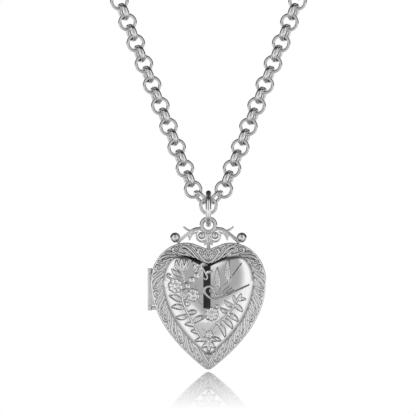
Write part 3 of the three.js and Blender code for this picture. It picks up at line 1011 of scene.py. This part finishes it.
def makeHinge(c):
    pivot = middle("hinge_pin")
    for name, node, body, side in [("knuckleUpper", "hinge_knuckle_upper", "locket", 1),
                                   ("knuckleMiddle", "hinge_knuckle_middle", "cover", -1),
                                   ("knuckleLower", "hinge_knuckle_lower", "locket", 1)]:
        low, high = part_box(node)
        bm = bmesh.new()
        tube(bm, pivot.x, pivot.y, low.z, high.z, c["barrel"], c["bore"], c["bevel"], c["steps"])
        # the leaf runs from the barrel to the cover's side wall
        reach = high.x - (pivot.x + c["bore"])
        made = bmesh.ops.create_cube(bm, size=1)["verts"]
        size = Matrix.Diagonal((reach, c["leaf"], high.z - low.z - 2 * c["bevel"], 1))
        off = side * (c["leafGap"] + c["leaf"] / 2 + c["bevel"])
        at = Vector((pivot.x + c["bore"] + c["bevel"] + reach / 2, pivot.y + off, (low.z + high.z) / 2))
        bmesh.ops.transform(bm, verts=made, matrix=Matrix.Translation(at) @ size)
        edges = list({e for v in made for e in v.link_edges})
        bmesh.ops.bevel(bm, geom=edges, offset=c["bevel"], segments=2, affect="EDGES", profile=0.5, material=-1)
        bmesh.ops.recalc_face_normals(bm, faces=bm.faces)
        place(name, meshOf(bm, name), body, "silver", shadedWireSilver, [node], 35)
    low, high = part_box("hinge_pin")
    bm = bmesh.new()
    tube(bm, pivot.x, pivot.y, low.z, high.z, c["pin"], 0, c["bevel"], c["steps"])
    bmesh.ops.recalc_face_normals(bm, faces=bm.faces)
    place("hingePin", meshOf(bm, "hingePin"), "locket", "steel", steel, ["hinge_pin"], 35)


makeHinge(hinge)
print("hinge made")


# ---- clasp ----

clasp = {
    "length": 9.4,
    "width": 5.4,
    "wall": 0.62,
    "eyeRadius": 1.69,
    "eyeWire": 0.36,
    "grain": 0.07,
}


def claspFrame():
    # where the clasp is drawn upright, with its eye at the origin
    step = Vector((-sin(chain["lean"]), 0, cos(chain["lean"]))) * chain["pitch"]
    eye = middle(f"link_left_{chain['count']:02d}") + step
    return Matrix.Translation(eye) @ Matrix.Rotation(-chain["lean"], 4, "Y") @ Matrix.Rotation(pi / 2, 4, "Z")


def makeClasp(c):
    base = c["eyeRadius"]
    top = base + c["length"]
    half = c["width"] / 2 - c["wall"]
    thick = c["wall"]
    bm = bmesh.new()
    # the eye, the solid foot with the rivet, the back and the hooked top
    eye = [(base * sin(k), -base * cos(k)) for k in np.linspace(0, 2 * pi, 25)]
    beadRun(bm, eye, c["eyeWire"], c["eyeWire"])
    for z, width in [(0.75, 0.9), (1.3, 1.5), (1.9, 1.75), (2.4, 1.8), (2.9, 1.6)]:
        beadRun(bm, [(-width + 0.5, base + z), (0, base + z), (width - 0.1, base + z)], thick, thick)
    back = [(1.2, base + 2.4), (half, base + 4.0), (half + 0.05, base + 5.6), (half - 0.6, base + 7.6)]
    hook = [(0.6, top - 0.7), (-0.5, top - thick - 0.05), (-1.5, top - 1.35), (half * -0.98, base + 7.1)]
    beadRun(bm, back + hook, thick, thick * 0.95)
    piece = place("claspBody", meshOf(bm, "claspBody"), "chain", "chain_silver", shadedWireSilver, ["clasp_body"])
    piece.data.transform(claspFrame())
    fused(piece, c["grain"], 4)
    return piece


claspBody = makeClasp(clasp)
print("clasp made")


# ---- frames, windows, cards and catch keep their modelled shapes ----

for name, material in [
    ("front_bezel", plainSilver), ("back_bezel", plainSilver), ("snap_catch", steel),
    ("front_window", windowSheet), ("back_window", windowSheet),
    ("front_picture_card", cardStock), ("back_picture_card", cardStock), ("clasp_lever", shadedWireSilver),
]:
    for socket in nodes[name].material_slots:
        socket.link = "OBJECT"
        socket.material = material
print("inner pieces finished")


# ---- the paths along the chain's two strands ----

def pathLength(path):
    return sum((b - a).length for a, b in zip(path, path[1:]))


leftPath.append(leftPath[-1] + (leftPath[-1] - leftPath[-2]) * chain["pathEnd"])
rightPath[0] = rightPath[0] + Vector((chain["pathStart"], 0, 0))
pathLength(leftPath)
pathLength(rightPath)


# ---- floor and studio ----

ground = {
    "size": 3,
    "drop": 0.0003,          # below the heart's tip
    "grey": 0.5,             # the part well in front that the silver mirrors
    "greyFrom": -0.16,
    "greyTo": -0.24,
    "greyWide": 0.75,        # tangents of the grey wedge's half angle, at its edge and inside it
    "greyFull": 0.35,
    "mirrorShare": 0.93,
    "mirrorCloud": 0.04,
    "mirrorFade": 0.12,      # how far from the tip the mirroring has gone
    "mirrorBehind": 0.03,
    "mirrorBack": 0.01,
}


def makeFloor(s):
    bm = bmesh.new()
    bmesh.ops.create_grid(bm, x_segments=2, y_segments=2, size=s["size"])
    bmesh.ops.translate(bm, verts=bm.verts, vec=(0, 0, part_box("front_cover")[0].z - s["drop"]))
    floor = bpy.data.objects.new("floor", meshOf(bm, "floor"))
    scene.collection.objects.link(floor)
    material = bpy.data.materials.new("floor")
    material.use_nodes = True
    tree = material.node_tree
    tree.nodes.clear()
    start = Flow(tree, None)
    split = tree.nodes.new("ShaderNodeSeparateXYZ")
    tree.links.new(objectPlace(start).socket, split.inputs[0])
    across, along = (Flow(tree, split.outputs[i]) for i in (0, 1))
    # the floor greys off well in front, for the silver to mirror
    far = ramp(start, along, s["greyFrom"], s["greyTo"])
    wedge = ramp(start, start.maths("DIVIDE", across.size(), along * -1.0), s["greyWide"], s["greyFull"])
    seen = start.node("ShaderNodeLightPath", out="Is Camera Ray")
    unseen = 1 - seen
    tone = blendColour(start, far * wedge * unseen, (1, 1, 1, 1), (s["grey"],) * 3 + (1,))
    paper = start.node("ShaderNodeEmission", {}, {"Color": tone, "Strength": 1.0})
    gloss = start.node("ShaderNodeBsdfGlossy", {}, {"Color": (1, 1, 1, 1), "Roughness": 0.0})
    cloud = noise(start, objectPlace(start), 3, 2)
    # the camera sees it mirror round the tip, and the silver sees it mirror in a strip below the chain
    reach = start.maths("SQRT", across * across + along * along, 0)
    near = ramp(start, reach, s["mirrorFade"], 0.0, False)
    before = ramp(start, along, -s["mirrorFade"], 0.0, False)
    strip = before * ramp(start, along, s["mirrorBehind"], s["mirrorBack"], False)
    share = (near * seen + strip * unseen) * (cloud * s["mirrorCloud"] + s["mirrorShare"])
    mix = tree.nodes.new("ShaderNodeMixShader")
    start.feed(mix.inputs[0], share)
    tree.links.new(paper.socket, mix.inputs[1])
    tree.links.new(gloss.socket, mix.inputs[2])
    tree.links.new(mix.outputs[0], tree.nodes.new("ShaderNodeOutputMaterial").inputs[0])
    floor.data.materials.append(material)
    floor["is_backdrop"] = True


light = {
    "white": 1.05,
    "front": 0.43,
    "frontWidth": 0.5,       # tangent of the grey front's half angle
    "frontOutside": 0.3,     # how far its edge fades each way
    "frontInside": 0.22,
    "flank": 0.5,            # the far end of the side panels
    "flankFrom": -0.5,
    "flankSoft": 0.15,
    "behind": 0.03,
    "behindFrom": -0.32,
    "behindSoft": 0.3,
    "over": 0.06,
    "overFrom": 0.8,
    "overSoft": 0.1,
    "sweepWidth": 0.22,      # the pale sweep behind
    "sweepHigh": 0.16,
    "sweepSoft": 0.03,
    "sweepFrom": (0.1, 0.3),
}


def makeWorld(c):
    world = bpy.data.worlds.new("studio")
    world.use_nodes = True
    scene.world = world
    tree = world.node_tree
    tree.nodes.clear()
    start = Flow(tree, None)
    towards = start.node("ShaderNodeTexCoord", out="Generated")
    split = tree.nodes.new("ShaderNodeSeparateXYZ")
    tree.links.new(towards.socket, split.inputs[0])
    x, y, z = (Flow(tree, split.outputs[i]) for i in range(3))
    ahead = start.maths("MAXIMUM", y * -1.0, 0.001)
    aside = start.maths("DIVIDE", x.size(), ahead)

    def around(value, middleAt, half):
        # 0 to 1 over a band that is centred on middleAt; a negative half turns it round
        return ramp(start, value, middleAt - half, middleAt + half)

    def towardsShade(shade, share, value):
        return shade + share * (value - shade)

    wide = c["frontWidth"]
    front = ramp(start, aside, wide + c["frontOutside"], wide - c["frontInside"])
    shade = front * (c["front"] - c["white"]) + c["white"]
    shade = towardsShade(shade, around(y, c["flankFrom"], c["flankSoft"]), c["flank"])
    shade = towardsShade(shade, ramp(start, y, c["behindFrom"], c["behindFrom"] + c["behindSoft"]), c["behind"])
    shade = towardsShade(shade, around(z, c["overFrom"], c["overSoft"]), c["over"])
    sweep = around(x.size(), c["sweepWidth"], -c["sweepSoft"]) * ramp(start, y, *c["sweepFrom"])
    sweep = sweep * around(z.size(), c["sweepHigh"], -c["sweepSoft"])
    shade = towardsShade(shade, sweep, 1.0)
    # plain white to the camera itself
    shade = start.maths("MAXIMUM", shade, start.node("ShaderNodeLightPath", out="Is Camera Ray"))
    background = tree.nodes.new("ShaderNodeBackground")
    start.feed(background.inputs["Color"], shade)
    tree.links.new(background.outputs[0], tree.nodes.new("ShaderNodeOutputWorld").inputs[0])


makeFloor(ground)
makeWorld(light)
print("studio ready")


# ---- finish ----

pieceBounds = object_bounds()


def plain(value):
    # a bounds value as plain lists
    if isinstance(value, dict):
        return {key: plain(item) for key, item in value.items()}
    if hasattr(value, "__len__") and not isinstance(value, str):
        return [plain(item) for item in value]
    return value


{"cad": plain(cadBounds), "pieces": plain(pieceBounds)}
